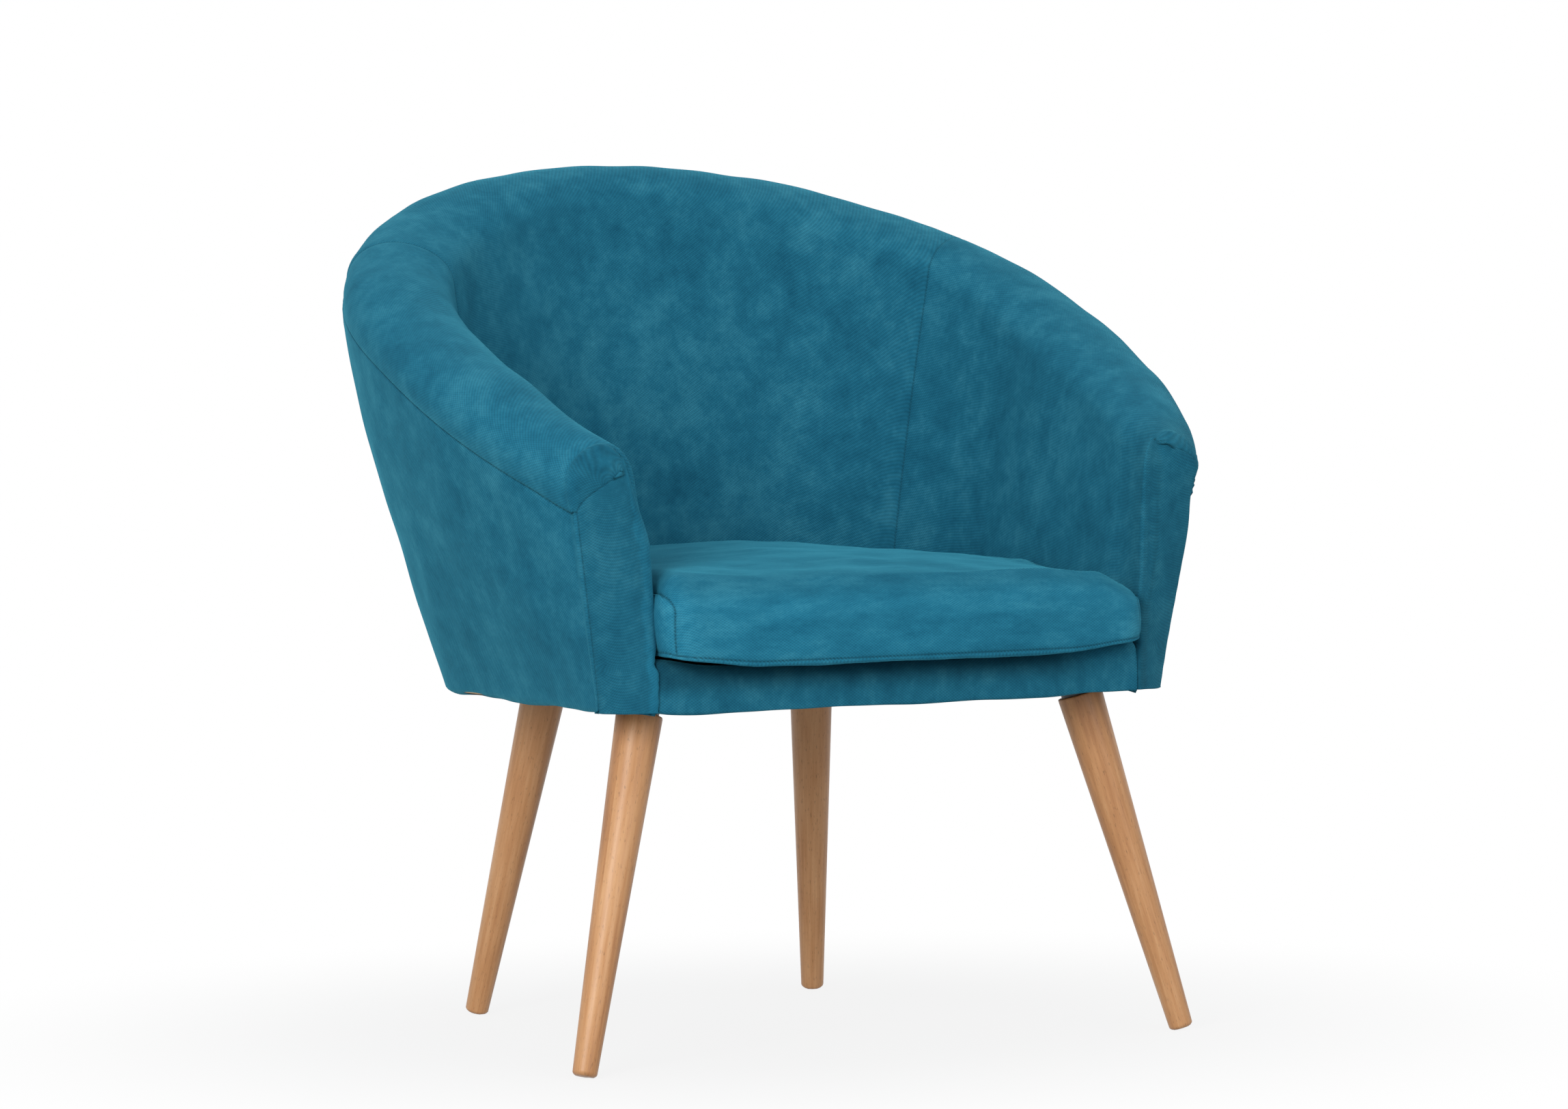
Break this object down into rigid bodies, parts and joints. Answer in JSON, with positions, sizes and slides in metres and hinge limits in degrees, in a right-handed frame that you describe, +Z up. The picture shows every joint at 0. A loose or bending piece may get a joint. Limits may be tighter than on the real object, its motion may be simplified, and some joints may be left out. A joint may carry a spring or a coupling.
{
  "type": "tub chair",
  "caption": "Wrap-around upholstered tub chair with a rolled rim sloping down to the arms, a loose crowned seat cushion and splayed tapered round legs.",
  "frame": {"origin": "on the floor under the middle of the chair's width and depth", "axes": "+Z up, the chair faces -Y, +X to the right of someone in front who faces it"},
  "size_m": [0.754, 0.632, 0.806],
  "materials": {
    "velvet": "teal velvet with a soft nap",
    "foam": "cut polyurethane foam",
    "plywood": "raw plywood",
    "lining_board": "brown fibreboard",
    "spring_steel": "drawn spring wire",
    "deck_felt": "felt under black cloth",
    "dust_cloth": "black non-woven cloth",
    "beech": "clear satin lacquer",
    "dark_steel": "black paint",
    "bright_steel": "zinc plated"
  },
  "bodies": {
    "chair": {"front_rail": "plywood", "side_rail_left": "plywood", "side_rail_right": "plywood", "back_rail": "plywood", "corner_block_front_left": "plywood", "corner_block_front_right": "plywood", "corner_block_rear_left": "plywood", "corner_block_rear_right": "plywood", "arm_post_left": "plywood", "arm_post_right": "plywood", "rib_left_1": "plywood", "rib_left_2": "plywood", "rib_left_3": "plywood", "rib_back": "plywood", "rib_right_3": "plywood", "rib_right_2": "plywood", "rib_right_1": "plywood", "top_hoop": "plywood", "outer_lining": "lining_board", "inner_lining": "lining_board", "spring_1": "spring_steel", "spring_2": "spring_steel", "spring_3": "spring_steel", "spring_4": "spring_steel", "spring_clips": "spring_steel", "seat_deck": "deck_felt", "tub_foam": "foam", "inner_cover_left": "velvet", "inner_cover_back": "velvet", "inner_cover_right": "velvet", "outer_cover": "velvet", "arm_facing_left": "velvet", "arm_facing_right": "velvet", "front_foam": "foam", "front_cover": "velvet", "dust_cover": "dust_cloth", "leg_front_left": "beech", "leg_front_right": "beech", "leg_rear_left": "beech", "leg_rear_right": "beech", "leg_plate_front_left": "dark_steel", "leg_plate_front_right": "dark_steel", "leg_plate_rear_left": "dark_steel", "leg_plate_rear_right": "dark_steel", "hanger_bolts": "bright_steel", "plate_screws": "bright_steel"},
    "seat_cushion": {"cushion_foam": "foam", "cushion_top": "velvet", "cushion_boxing": "velvet", "cushion_bottom": "velvet"}
  },
  "joints": [
    {"name": "cushion_lift", "type": "slide", "parent": "chair", "child": "seat_cushion", "axis": [0, 0, 1], "range_m": [0, 0.4]}
  ]
}
